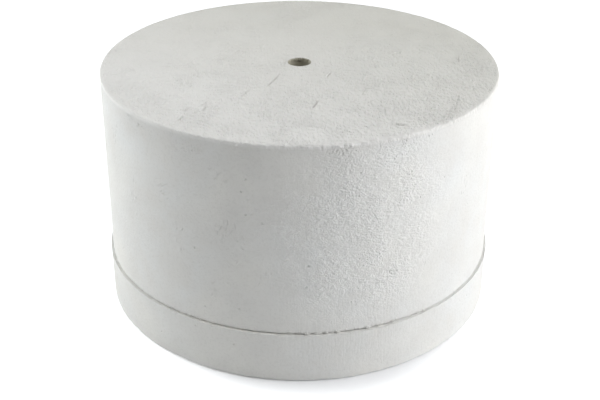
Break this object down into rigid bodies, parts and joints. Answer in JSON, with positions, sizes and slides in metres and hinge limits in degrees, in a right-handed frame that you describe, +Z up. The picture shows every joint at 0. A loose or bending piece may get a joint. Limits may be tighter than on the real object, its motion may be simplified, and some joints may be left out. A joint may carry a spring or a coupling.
{
  "type": "microwave kiln",
  "caption": "Round fibre kiln for firing small glass and metal-clay work in a microwave: a thick vented bell that lifts off a base with a raised hearth.",
  "frame": {"origin": "centre of the base's underside, on the surface that the kiln stands on", "axes": "+Z up along the kiln's axis and its vent; X and Y are alike, because the kiln is round"},
  "size_m": [0.166, 0.166, 0.1015],
  "materials": {
    "ceramic_fibre": "matte",
    "silicon_carbide_lining": "matte",
    "kiln_paper": "matte"
  },
  "bodies": {
    "base": {"base_plate": "ceramic_fibre"},
    "lid": {"lid_shell": "ceramic_fibre", "lid_susceptor": "silicon_carbide_lining"},
    "paper": {"kiln_paper": "kiln_paper"}
  },
  "joints": [
    {"name": "lid_lift", "type": "slide", "parent": "base", "child": "lid", "axis": [0, 0, 1], "range_m": [0, 0.15]},
    {"name": "paper_lift", "type": "slide", "parent": "base", "child": "paper", "axis": [0, 0, 1], "range_m": [0, 0.02]}
  ]
}
